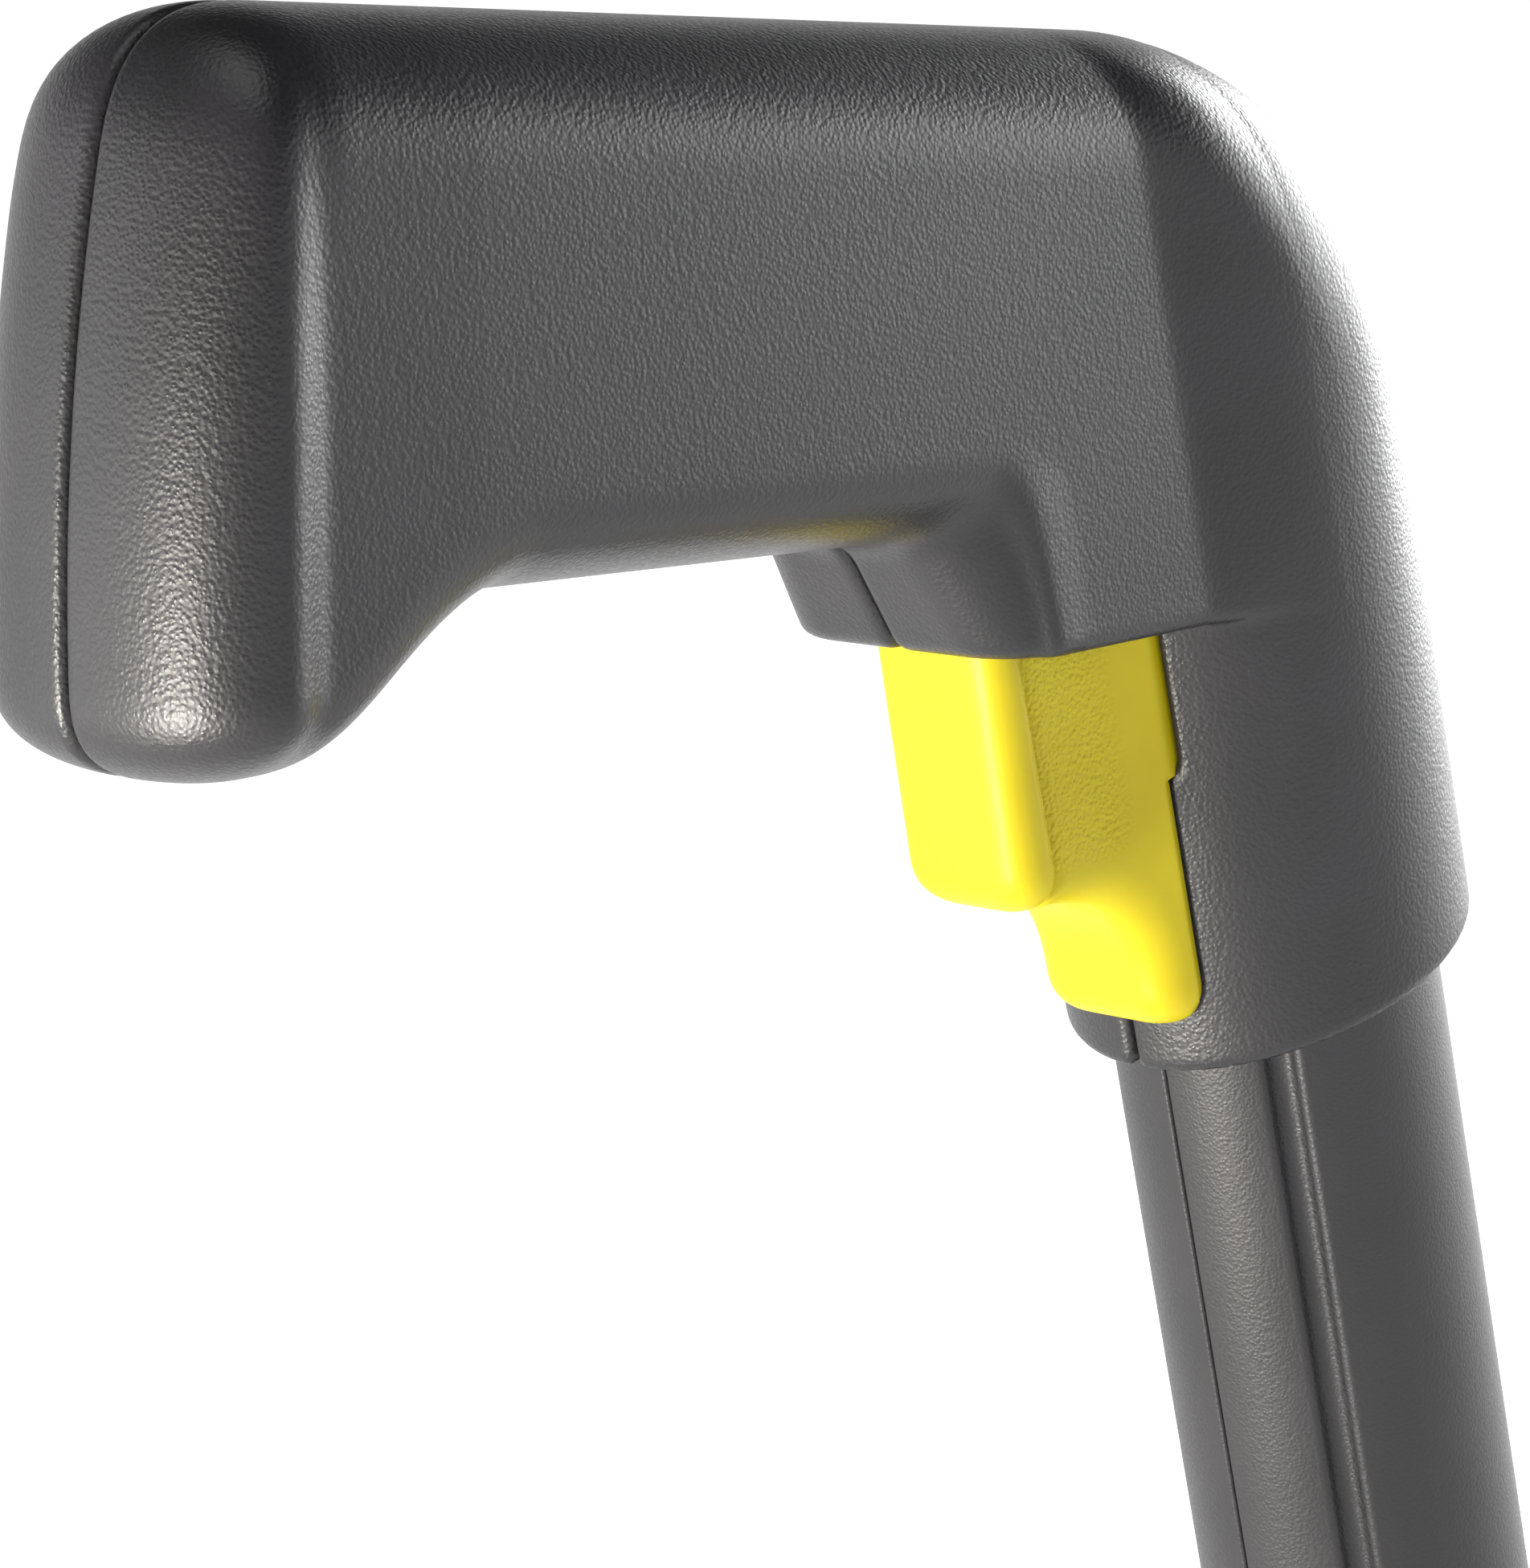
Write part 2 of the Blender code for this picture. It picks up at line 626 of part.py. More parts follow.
def lock_cam(look):
    """Plate with a sloping slot that draws the lock pin in, below a socket for the rod."""
    half = 3.3
    low, high = (16.5, 36.5)
    outline = ((lean(low) - half, low), (lean(low) + half, low), (lean(high) + half, high),
               (lean(high) + half, 38.5), (4.4, 48.0), (-4.4, 48.0), (-4.4, 44.0), (lean(high) - half, high))
    plate = prism(outline, -CAM_THICKNESS / 2, CAM_THICKNESS / 2, "Y")
    made = finish("lock_cam", plate, look)
    combine(made, [cylinder(4.5, 46.0, 60.0)], "UNION")
    slot = slot_outline((lean(19.0), 19.0), (lean(31.5), 31.5), PEG_RADIUS + GAP)
    cutters = [prism(slot, -10.0, 10.0, "Y"), cylinder(ROD_RADIUS + GAP, ROD_BOTTOM - GAP, 61.0)]
    return combine(made, cutters, "DIFFERENCE")


def lean(height):
    """The slot's x at a height, so that the travel of the trigger draws the peg in."""
    return PEG_X + LOCK_SLOPE * (height - LOCK_HEIGHT)


def slot_outline(start, end, radius, count=7):
    """A slot with round ends between two points."""
    heading = math.atan2(end[1] - start[1], end[0] - start[0])
    points = []
    for centre, first in ((end, -math.pi / 2), (start, math.pi / 2)):
        for i in range(count):
            angle = heading + first + math.pi * i / (count - 1)
            points.append((centre[0] + radius * math.cos(angle), centre[1] + radius * math.sin(angle)))
    return points


def lock_pin(look):
    """Round pin with a forked inner end and a chamfered tip."""
    tip = LOCK_PIN_TIP
    profile = ((0.0, -4.0), (LOCK_PIN_RADIUS, -4.0), (LOCK_PIN_RADIUS, tip - 0.8),
               (LOCK_PIN_RADIUS - 0.8, tip), (0.0, tip))
    along_x = Matrix.Rotation(math.radians(90), 4, "Y")
    body = move(turned(profile, 24), (0, 0, LOCK_HEIGHT), along_x)
    made = finish("lock_pin", body, look)
    fork = CAM_THICKNESS / 2 + 0.4
    gap = box((-0.6, -fork, LOCK_HEIGHT - 6.0), (11.6, fork, LOCK_HEIGHT + 6.0))
    hole = cylinder(PEG_RADIUS + GAP, -6.0, 6.0, (PEG_X, LOCK_HEIGHT), "Y", 16)
    return combine(made, [gap, hole], "DIFFERENCE")


def lock_pin_bush(look):
    """Plain bush that guides the lock pin through the column's wall."""
    bore = LOCK_PIN_RADIUS + GAP
    profile = ((bore, 12.4), (LOCK_BUSH_RADIUS, 12.4), (LOCK_BUSH_RADIUS, 15.4), (bore, 15.4))
    along_x = Matrix.Rotation(math.radians(90), 4, "Y")
    return finish("lock_pin_bush", move(turned(profile, 24), (0, 0, LOCK_HEIGHT), along_x), look)


# ---------------------------------------------------------------- screws

def screw(name, x, z, size, look):
    """Pan-head screw along Y with a hexagon socket, head on the left shell's side."""
    shank = size["shank"]
    head = size["head"]
    under = size["seat"] + GAP
    top = under + 0.75 * head
    tip = size["tip"]
    profile = ((0.0, tip), (shank * 0.5, tip), (shank, tip + 1.2), (shank, under), (head, under),
               (head, top - 0.25 * head), (0.75 * head, top), (0.0, top))
    along_y = Matrix.Rotation(math.radians(-90), 4, "X")
    made = finish(name, move(turned(profile, 16), (x, 0, z), along_y), look)
    socket = cylinder(0.5 * head, top - 0.4 * head, top + 2.0, (x, z), "Y", 6)
    return combine(made, [socket], "DIFFERENCE")


# ---------------------------------------------------------------- assembly

def parent_to_slide(name, location, pieces):
    """An empty on a joint's axis that carries the pieces moved by that joint."""
    slide = bpy.data.objects.new(name, None)
    slide.location = Vector(location) * MM
    bpy.context.scene.collection.objects.link(slide)
    bpy.context.view_layer.update()
    for piece in pieces:
        piece.parent = slide
        piece.matrix_parent_inverse = slide.matrix_world.inverted()


def main():
    """Build every piece of the handle."""
    for old in list(bpy.data.objects):
        bpy.data.objects.remove(old)
    shell_grey = material("shell_plastic", GREY, 0.5)
    column_grey = material("column_plastic", (0.060, 0.060, 0.064), 0.45)
    yellow = material("trigger_plastic", YELLOW, 0.35)
    inner = material("inner_plastic", (0.30, 0.30, 0.31), 0.5)
    steel = material("zinc_steel", (0.62, 0.62, 0.64), 0.35, 1.0)
    dark_steel = material("black_steel", (0.10, 0.10, 0.11), 0.4, 1.0)

    handle_shell(-1, "handle_shell_right", shell_grey)
    handle_shell(1, "handle_shell_left", shell_grey)
    column_half(-1, "column_half_right", column_grey)
    column_half(1, "column_half_left", column_grey)
    column_end_plug(column_grey)
    rod_guide("rod_guide_upper", COLUMN_TOP - 7.0, inner)
    rod_guide("rod_guide_lower", 78.0, inner)
    ring("spring_seat", inner, ROD_RADIUS + 0.6, 6.5, SPRING_SEAT, SPRING_SEAT + 2.0)
    lock_pin_bush(inner)

    clip_bottom = RIM_HEIGHT + CARRIAGE_TOP + GAP
    nut_top = RIM_HEIGHT + CARRIAGE_BOTTOM - GAP
    lifted = [
        trigger(yellow),
        pull_rod(steel),
        ring("rod_clip", dark_steel, ROD_RADIUS + GAP, 5.4, clip_bottom, clip_bottom + 1.3),
        hex_nut("rod_nut_upper", steel, 4.6, nut_top - 4.0, nut_top),
        lock_cam(inner),
        hex_nut("rod_nut_lower", steel, 4.6, 60.0 + GAP, 64.0 + GAP),
    ]
    parent_to_slide("trigger_slide", (0.0, 0.0, RIM_HEIGHT + CARRIAGE_BOTTOM), lifted)

    peg = finish("lock_pin_peg", cylinder(PEG_RADIUS, -3.9, 3.9, (PEG_X, LOCK_HEIGHT), "Y", 16), steel)
    parent_to_slide("lock_slide", (PEG_X, 0.0, LOCK_HEIGHT), [lock_pin(steel), peg])

    spring_bottom = clip_bottom + 1.3 + GAP
    place = Matrix.Translation((0, 0, spring_bottom))
    coil_spring("return_spring", steel, 4.5, 0.5, SPRING_SEAT - GAP - spring_bottom, 7.0, place)
    place = Matrix.Translation((-12.7, 0, LOCK_HEIGHT)) @ Matrix.Rotation(math.radians(90), 4, "Y")
    coil_spring("lock_pin_spring", steel, 2.8, 0.35, 8.4, 4.5, place)

    for number, (x, z, size) in enumerate(screw_places(), 1):
        screw(f"handle_screw_{number}", x, z, size, dark_steel)
    for number, (x, z) in enumerate(COLUMN_SCREWS, 1):
        screw(f"column_screw_{number}", x, z, COLUMN_SCREW, dark_steel)
    pin = cylinder(CROSS_PIN_RADIUS, -CROSS_PIN_END, CROSS_PIN_END, CROSS_PIN, "Y", 20)
    finish("cross_pin", pin, dark_steel)


main()
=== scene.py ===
"""Looks of a machine's push handle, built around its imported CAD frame.

The moulded pieces are solids given by a signed distance in millimetres, negative inside, and
meshed on a grid. Heights of the housing and the trigger are measured from the housing's rim.
"""

import math

import bpy
import numpy as np
from mathutils import Matrix, Vector


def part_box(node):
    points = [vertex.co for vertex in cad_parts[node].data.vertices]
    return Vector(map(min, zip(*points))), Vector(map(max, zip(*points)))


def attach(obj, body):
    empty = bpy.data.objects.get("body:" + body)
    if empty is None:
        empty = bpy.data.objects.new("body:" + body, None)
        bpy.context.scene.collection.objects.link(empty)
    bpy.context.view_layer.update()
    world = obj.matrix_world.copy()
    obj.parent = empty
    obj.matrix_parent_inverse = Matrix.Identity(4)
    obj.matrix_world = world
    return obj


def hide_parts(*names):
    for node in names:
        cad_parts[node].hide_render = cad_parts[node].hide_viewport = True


MM = 0.001

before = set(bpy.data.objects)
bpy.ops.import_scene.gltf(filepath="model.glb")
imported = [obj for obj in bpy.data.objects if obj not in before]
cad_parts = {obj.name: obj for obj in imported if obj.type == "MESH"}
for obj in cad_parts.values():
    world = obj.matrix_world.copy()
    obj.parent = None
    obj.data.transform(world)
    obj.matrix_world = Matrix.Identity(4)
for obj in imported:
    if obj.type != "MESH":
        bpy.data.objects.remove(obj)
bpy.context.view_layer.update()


def limits(node):
    """Lowest and highest corner of a CAD node, in millimetres."""
    low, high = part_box(node)
    return np.array(low) / MM, np.array(high) / MM


# ---------------------------------------------------------------- sizes, from the frame where it has them

COLUMN_LOW, COLUMN_HIGH = limits("column_half_right")
CARRIAGE_TOP = 40.0
CLIP_GAP = 0.3                   # between the carriage and the clip above it
RIM = limits("rod_clip")[0][2] - CARRIAGE_TOP - CLIP_GAP     # height of the rim on the column's axis

COLUMN_RADIUS = COLUMN_HIGH[0]
COLUMN_WALL = 2.5
POST_WALL = 1.6                  # round a screw post, beyond the screw head's radius
GUIDE_GROOVE = (-11.9, 11.1)     # centre of each half's groove: x, and its distance from the seam
GUIDE_GROOVE_RADIUS = 1.6

BARREL_RADIUS = 19.7
WALL = 2.6
GRIP_ANGLE = math.radians(14.0)
GRIP_HALF_WIDTH = 16.9
GRIP_TAPER = 0.019               # narrowing towards the barrel, per side
GRIP_TOP = 87.5                  # heights across the grip, square to its slope
GRIP_UNDERSIDE = 42.3
FLARE = (102.5, 126.0)           # where the underside bends down to the pommel, along the grip
UPPER_EDGE = 13.0                # rounding of the grip's edges
LOWER_EDGE = 8.5
END_EDGE = 12.0
CORNER_POWER = 3.0               # squareness of the grip's corners seen from the side
SWELL_START = 124.8              # where the grip begins to swell, along it
POMMEL_UNDERSIDE = 29.0
POMMEL_FACE = 138.1              # distance along the grip
POMMEL_FACE_CURVE = 0.0026
POMMEL_FACE_MIDDLE = 40.0
POMMEL_SWELL = 2.4
SHOULDER_RADIUS = 36.0
NOSE_HALF_WIDTH = 11.4
NOSE_FRONT = -44.1
NOSE_FRONT_HEIGHT = 54.0         # where the front is at NOSE_FRONT; below, it leans back
NOSE_LEAN = 0.36
NOSE_TOP = 52.0                  # height across the grip
NOSE_BOTTOM = 36.26              # height on the column's axis of the line along the nose's underside
NOSE_BOTTOM_SLOPE = -0.180
WEB_FRONT = -36.0                # where the grip's flat sides begin to reach down behind the nose
WEB_EDGE = 1.4                   # rounding along the underside of the nose and the web
RIM_SLOPE = 0.205
RIM_DROP = 0.6                   # how far the housing reaches below the rim's height, on the axis
RIM_EDGE = 1.1
SOCKET_RADIUS = COLUMN_RADIUS + 0.3
SOCKET_DEPTH = 22.0
SHELF_HALF_LENGTH = 9.0          # the shelf that carries the spring's seat
SHELF_INNER_EDGE = 3.4
SHELF_HEIGHT = 65.7
SHELF_HALF_THICKNESS = 1.3
WINDOW_HALF_WIDTH = 9.25
WINDOW_BOTTOM = 24.5
WINDOW_TOP = 60.0
WINDOW_FRONT = -37.6
WINDOW_BACK = -8.0

PAD_FRONT = -36.95
PAD_BACK = -32.6
PAD_HALF_WIDTH = 8.0
PAD_BOTTOM = 16.8
PAD_TOP = 46.0
NECK_FRONT = -33.0
NECK_BOTTOM = 17.2
NECK_HALF_WIDTH = 6.9
FLAP_FRONT = -22.6
FLAP_HALF_WIDTH = 9.0
FLAP_BOTTOM = 0.6
FLAP_TOP = 30.0
FLAP_BACK = -12.0
CARRIAGE_MIDDLE = (-4.25, 34.5)  # x and height of the block that holds the rod
CARRIAGE_HALF_SIZE = (10.75, 8.2, 5.5)
ROD_HOLE_RADIUS = 2.8

SEAM_GAP = 0.06                  # half of the gap between the halves
SEAM_ROUND = 1.5                 # rounding of the housing halves' edges along the seam
HOLE_GAP = 0.3                   # round screws, and round the bush and the pin in the column


# ---------------------------------------------------------------- blends of distances

def join(a, b, blend):
    """Union of two solids with a rounded inner corner."""
    share = np.clip(0.5 + 0.5 * (b - a) / blend, 0.0, 1.0)
    return b + (a - b) * share - blend * share * (1.0 - share)


def cut(a, b, blend):
    """What two solids share, with a rounded edge."""
    return -join(-a, -b, blend)


def ease(value, low, high):
    """Smooth step from 0 at low to 1 at high."""
    t = np.clip((value - low) / (high - low), 0.0, 1.0)
    return t * t * (3.0 - 2.0 * t)


def round_corner(a, b, radius, turn):
    """Where two planes meet, rounded by a true arc. turn is the angle between their normals."""
    across = (b - a * math.cos(turn)) / math.sin(turn)
    centre = (radius * math.cos(turn) - radius) / math.sin(turn)
    right = a + radius
    up = across - centre
    angle = np.arctan2(up, right)
    on_arc = (angle > 0.0) & (angle < turn)
    return np.where(on_arc, np.hypot(right, up) - radius, np.maximum(a, b))


def plane_under(x, z, height, slope):
    """Solid above a line that has this height at x = 0 and this slope."""
    return (height + slope * x - z) / math.hypot(1.0, slope)


# ---------------------------------------------------------------- housing

def grip_axes(x, z):
    """Distance along the grip, towards its end, and height square to it."""
    cosine = math.cos(GRIP_ANGLE)
    sine = math.sin(GRIP_ANGLE)
    return z * sine - x * cosine, x * sine + z * cosine


def side_outline(x, z):
    """Distances to the back and top lines, the underside and the end face, seen from the side."""
    along, up = grip_axes(x, z)
    top = up - GRIP_TOP - 0.022 * (along - 68.0)
    shoulder_turn = math.radians(90.0) - GRIP_ANGLE
    back_and_top = round_corner(x - BARREL_RADIUS, top, SHOULDER_RADIUS, shoulder_turn)
    flare = ease(along, *FLARE)
    grip_line = GRIP_UNDERSIDE - 0.018 * (along - 70.0)
    underside = grip_line - (GRIP_UNDERSIDE - 0.7 - POMMEL_UNDERSIDE) * flare
    under = (underside - up) * (1.0 - 0.88 * flare * (1.0 - flare))
    face = along - POMMEL_FACE + POMMEL_FACE_CURVE * (up - POMMEL_FACE_MIDDLE) ** 2
    return back_and_top, under, face, along, up


def nose_bottom(x, z):
    """Solid above the line where the nose and the web behind it end."""
    return plane_under(x, z, NOSE_BOTTOM, NOSE_BOTTOM_SLOPE)


def grip_bar(x, y, z):
    """The grip: flat sides, rounded edges and a swollen end. It merges into the barrel's roundness.

    Between the nose and the barrel it reaches down as a web, with its flat sides going on.
    """
    back_and_top, under, face, along, up = side_outline(x, z)
    swell = ease(along, SWELL_START, SWELL_START + 6.0) * (1.0 - 0.5 * ease(up, 72.0, 88.0))
    merge = ease(x, -14.0, -1.0)
    flat = GRIP_HALF_WIDTH + POMMEL_SWELL * swell - GRIP_TAPER * np.clip(110.0 - along, 0.0, 90.0)
    barrel_half_width = np.sqrt(np.maximum(BARREL_RADIUS ** 2 - np.minimum(x, 0.0) ** 2, 1.0))
    half_width = -join(-flat, -barrel_half_width, 4.4)
    power = 2.3 - 0.3 * merge
    edge = UPPER_EDGE + (BARREL_RADIUS - UPPER_EDGE) * merge
    upper = np.clip((back_and_top + edge) / edge, 0.0, None) ** CORNER_POWER
    lower = np.clip((under + LOWER_EDGE) / LOWER_EDGE, 0.0, None)
    lower = (lower * (1.0 - ease(x, WEB_FRONT - 3.5, WEB_FRONT + 1.5))) ** CORNER_POWER
    endwise = np.clip((face + END_EDGE) / END_EDGE, 0.0, None) ** CORNER_POWER
    corner = upper + lower + endwise + 1e-9
    corner_reach = (edge * upper + LOWER_EDGE * lower + END_EDGE * endwise) / corner
    section = corner ** (power / CORNER_POWER)
    across = (np.abs(y) / half_width) ** power
    total = section + across
    reach = (corner_reach * section + half_width * across) / total
    bar = (total ** (1.0 / power) - 1.0) * reach
    return cut(cut(bar, x + 1.0, 2.0), nose_bottom(x, z), WEB_EDGE), back_and_top


def housing_body(x, y, z):
    """Grip, shoulder and barrel in one, without the nose."""
    bar, back_and_top = grip_bar(x, y, z)
    upward = np.clip((back_and_top + BARREL_RADIUS) / BARREL_RADIUS, 0.0, None)
    forward = np.clip(-x / BARREL_RADIUS, 0.0, None)
    barrel = (np.sqrt(upward ** 2 + forward ** 2 + (y / BARREL_RADIUS) ** 2) - 1.0) * BARREL_RADIUS
    return join(bar, barrel, 0.2)


def housing_form(x, y, z):
    """Outer form of the closed housing, going on below its rim."""
    body = housing_body(x, y, z)
    front = plane_under(-z, x, NOSE_FRONT + NOSE_LEAN * NOSE_FRONT_HEIGHT, NOSE_LEAN)
    sides = np.abs(y) - NOSE_HALF_WIDTH - 3.4 * ease(x, WEB_FRONT - 12.0, WEB_FRONT + 1.0)
    nose = cut(front, sides, 5.0)
    nose = cut(cut(nose, x - WEB_FRONT - 4.0, 5.0), grip_axes(x, z)[1] - NOSE_TOP, 8.0)
    nose = cut(join(body, nose, 2.5), nose_bottom(x, z), WEB_EDGE)
    return np.minimum(body, nose)


def window(x, y, z):
    """The opening that the trigger slides in."""
    hole = cut(np.abs(y) - WINDOW_HALF_WIDTH, WINDOW_BOTTOM - z, 2.5)
    hole = np.maximum(np.maximum(hole, z - WINDOW_TOP), x - WINDOW_BACK)
    return np.maximum(hole, WINDOW_FRONT - x)


def screw_seats(prefix):
    """Axis, head radius and seat of each screw whose name has this prefix."""
    seats = []
    for name in sorted(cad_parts):
        if name.startswith(prefix):
            low, high = limits(name)
            head = 0.5 * (high[0] - low[0])
            middle = 0.5 * (low + high)
            seats.append((middle[0], middle[2], head, high[1] - 0.75 * head - HOLE_GAP))
    return seats


HANDLE_SCREWS = screw_seats("handle_screw")
COLUMN_SCREWS = screw_seats("column_screw")
CROSS_PIN_LOW, CROSS_PIN_HIGH = limits("cross_pin")
CROSS_PIN = 0.5 * (CROSS_PIN_LOW + CROSS_PIN_HIGH)
CROSS_PIN_RADIUS = 0.5 * (CROSS_PIN_HIGH[0] - CROSS_PIN_LOW[0])
BUSH_LOW, BUSH_HIGH = limits("lock_pin_bush")
LOCK_HEIGHT = 0.5 * (BUSH_LOW[2] + BUSH_HIGH[2])
LOCK_BUSH_RADIUS = BUSH_HIGH[1]


def add_screw_posts(solid, seats, lift, x, z):
    """Adds a round post for each screw."""
    for screw_x, screw_z, head, _ in seats:
        post = np.hypot(x - screw_x, z + lift - screw_z) - head - POST_WALL
        solid = np.minimum(solid, post)
    return solid


def drill_screw_holes(solid, side, seats, lift, x, y, z):
    """Blind holes in the right half, stepped holes from outside in the left half."""
    for screw_x, screw_z, head, seat in seats:
        radius = np.hypot(x - screw_x, z + lift - screw_z)
        depth = 9.0 if side < 0 else seat + 1.0
        shank = np.maximum(radius - 0.5 * head - HOLE_GAP, np.abs(y) - depth)
        solid = cut(solid, -shank, 0.2)
        if side > 0:
            recess = np.maximum(radius - head - HOLE_GAP, seat - y)
            solid = cut(solid, -recess, 0.4)
    return solid


def handle_half(side):
    """Signed distance of one moulded half of the housing."""

    def solid(x, y, z):
        form = housing_form(x, y, z)
        outside = cut(form, plane_under(x, z, -RIM_DROP, RIM_SLOPE), RIM_EDGE)
        socket = np.maximum(z - SOCKET_DEPTH, SOCKET_RADIUS - np.hypot(x, y))
        shelf = np.maximum(np.abs(x) - SHELF_HALF_LENGTH, np.abs(z - SHELF_HEIGHT) - SHELF_HALF_THICKNESS)
        shelf = np.maximum(shelf, SHELF_INNER_EDGE - np.abs(y))
        filled = np.minimum(join(-(form + WALL), socket, 0.6), shelf)
        filled = add_screw_posts(filled, HANDLE_SCREWS, RIM, x, z)
        shell = np.maximum(outside, filled)
        shell = drill_screw_holes(shell, side, HANDLE_SCREWS, RIM, x, y, z)
        pin = np.hypot(x - CROSS_PIN[0], z + RIM - CROSS_PIN[2]) - CROSS_PIN_RADIUS - 0.1
        pin = np.maximum(pin, np.abs(y) - (30.0 if side > 0 else CROSS_PIN_HIGH[1] + 0.2))
        shell = cut(shell, -pin, 0.3)
        shell = cut(shell, -window(x, y, z), 0.8)
        return cut(shell, SEAM_GAP - side * y, SEAM_ROUND)

    return solid


# ---------------------------------------------------------------- column

def column_half(side):
    """Signed distance of one half of the column, with heights as in the frame."""

    def solid(x, y, z):
        radius = np.hypot(x, y)
        outside = radius - COLUMN_RADIUS
        groove_x, groove_y = GUIDE_GROOVE
        groove = np.hypot(x - groove_x, np.abs(y) - groove_y) - GUIDE_GROOVE_RADIUS
        outside = cut(outside, -groove, 0.6)
        filled = add_screw_posts(COLUMN_RADIUS - COLUMN_WALL - radius, COLUMN_SCREWS, 0.0, x, z)
        tube = np.maximum(outside, filled)
        tube = drill_screw_holes(tube, side, COLUMN_SCREWS, 0.0, x, y, z)
        pin = np.hypot(x - CROSS_PIN[0], z - CROSS_PIN[2]) - CROSS_PIN_RADIUS - HOLE_GAP
        tube = cut(tube, -pin, 0.3)
        bush = np.maximum(np.hypot(y, z - LOCK_HEIGHT) - LOCK_BUSH_RADIUS - HOLE_GAP, 5.0 - x)
        tube = cut(tube, -bush, 0.4)
        tube = cut(tube, z - COLUMN_HIGH[2], 0.8)
        tube = cut(tube, COLUMN_LOW[2] - z, 0.8)
        return cut(tube, SEAM_GAP - side * y, 0.4)

    return solid


# ---------------------------------------------------------------- trigger

def trigger_solid(x, y, z):
    """Pad, grained neck and apron in front of the barrel, and the carriage inside it."""
    pad_front = PAD_FRONT - x + 0.035 * (z - 30.0)
    pad = cut(np.abs(y) - PAD_HALF_WIDTH, pad_front, 3.6)
    pad = cut(pad, x - PAD_BACK, 1.0)
    pad = cut(pad, PAD_BOTTOM - z, 5.0)
    spread = np.clip((x + 32.5) / 14.5, 0.0, 1.0) ** 2
    sides = np.abs(y) - NECK_HALF_WIDTH - (FLAP_HALF_WIDTH - NECK_HALF_WIDTH) * spread
    neck = np.maximum(NECK_FRONT - x, NECK_BOTTOM - z)
    flap = np.maximum(FLAP_FRONT - x, z - FLAP_TOP)
    web = np.maximum(join(neck, flap, 13.0), x - FLAP_BACK)
    web = cut(cut(web, sides, 3.2), FLAP_BOTTOM - z, 4.5)
    front = np.maximum(join(web, pad, 0.6), z - PAD_TOP)
    barrel = BARREL_RADIUS + 0.3 - np.hypot(x, y) - 30.0 * ease(z, 24.6, 25.4)
    front = cut(front, barrel, 0.5)
    offsets = (x - CARRIAGE_MIDDLE[0], y, z - CARRIAGE_MIDDLE[1])
    length, width, height = (np.abs(offset) - half for offset, half in zip(offsets, CARRIAGE_HALF_SIZE))
    carriage = np.maximum(np.maximum(length, width), height)
    whole = np.minimum(front, carriage)
    return np.maximum(whole, ROD_HOLE_RADIUS - np.hypot(x, y))


# ---------------------------------------------------------------- meshing

def sample(solid, xs, ys, zs):
    """The distance at every grid point, one slab at a time to save memory."""
    grid_y, grid_z = np.meshgrid(ys, zs, indexing="ij")
    values = np.empty((len(xs), len(ys), len(zs)))
    slab = 24
    for start in range(0, len(xs), slab):
        part = xs[start:start + slab]
        values[start:start + slab] = solid(part[:, None, None], grid_y[None], grid_z[None])
    return values


def crossing_mean(values, cells, axes):
    """For each cell that the surface crosses, the mean of where it crosses the cell's edges."""
    corners = [(i, j, k) for i in (0, 1) for j in (0, 1) for k in (0, 1)]
    places = {}
    for corner in corners:
        index = cells + np.array(corner)
        point = np.stack([axes[axis][index[:, axis]] for axis in range(3)], axis=1)
        places[corner] = (values[index[:, 0], index[:, 1], index[:, 2]], point)
    total = np.zeros((len(cells), 3))
    count = np.zeros((len(cells), 1))
    for low in corners:
        for axis in range(3):
            if low[axis]:
                continue
            high = tuple(1 if other == axis else low[other] for other in range(3))
            value_low, point_low = places[low]
            value_high, point_high = places[high]
            crossed = (value_low < 0.0) != (value_high < 0.0)
            gap = np.where(crossed, value_low - value_high, 1.0)
            share = np.where(crossed, value_low / gap, 0.0)[:, None]
            total += np.where(crossed[:, None], point_low + share * (point_high - point_low), 0.0)
            count += crossed[:, None]
    return total / count


def settle(solid, points, reach=0.25, rounds=4):
    """Points moved along the slope onto the surface."""
    step = 0.02
    for _ in range(rounds):
        x, y, z = points.T
        value = solid(x, y, z)
        slope = np.stack([
            solid(x + step, y, z) - solid(x - step, y, z),
            solid(x, y + step, z) - solid(x, y - step, z),
            solid(x, y, z + step) - solid(x, y, z - step),
        ], axis=1) / (2.0 * step)
        move = -(value / np.maximum((slope ** 2).sum(axis=1), 0.2))[:, None] * slope
        length = np.linalg.norm(move, axis=1, keepdims=True)
        points = points + move * np.minimum(1.0, reach / np.maximum(length, 1e-9))
    return points


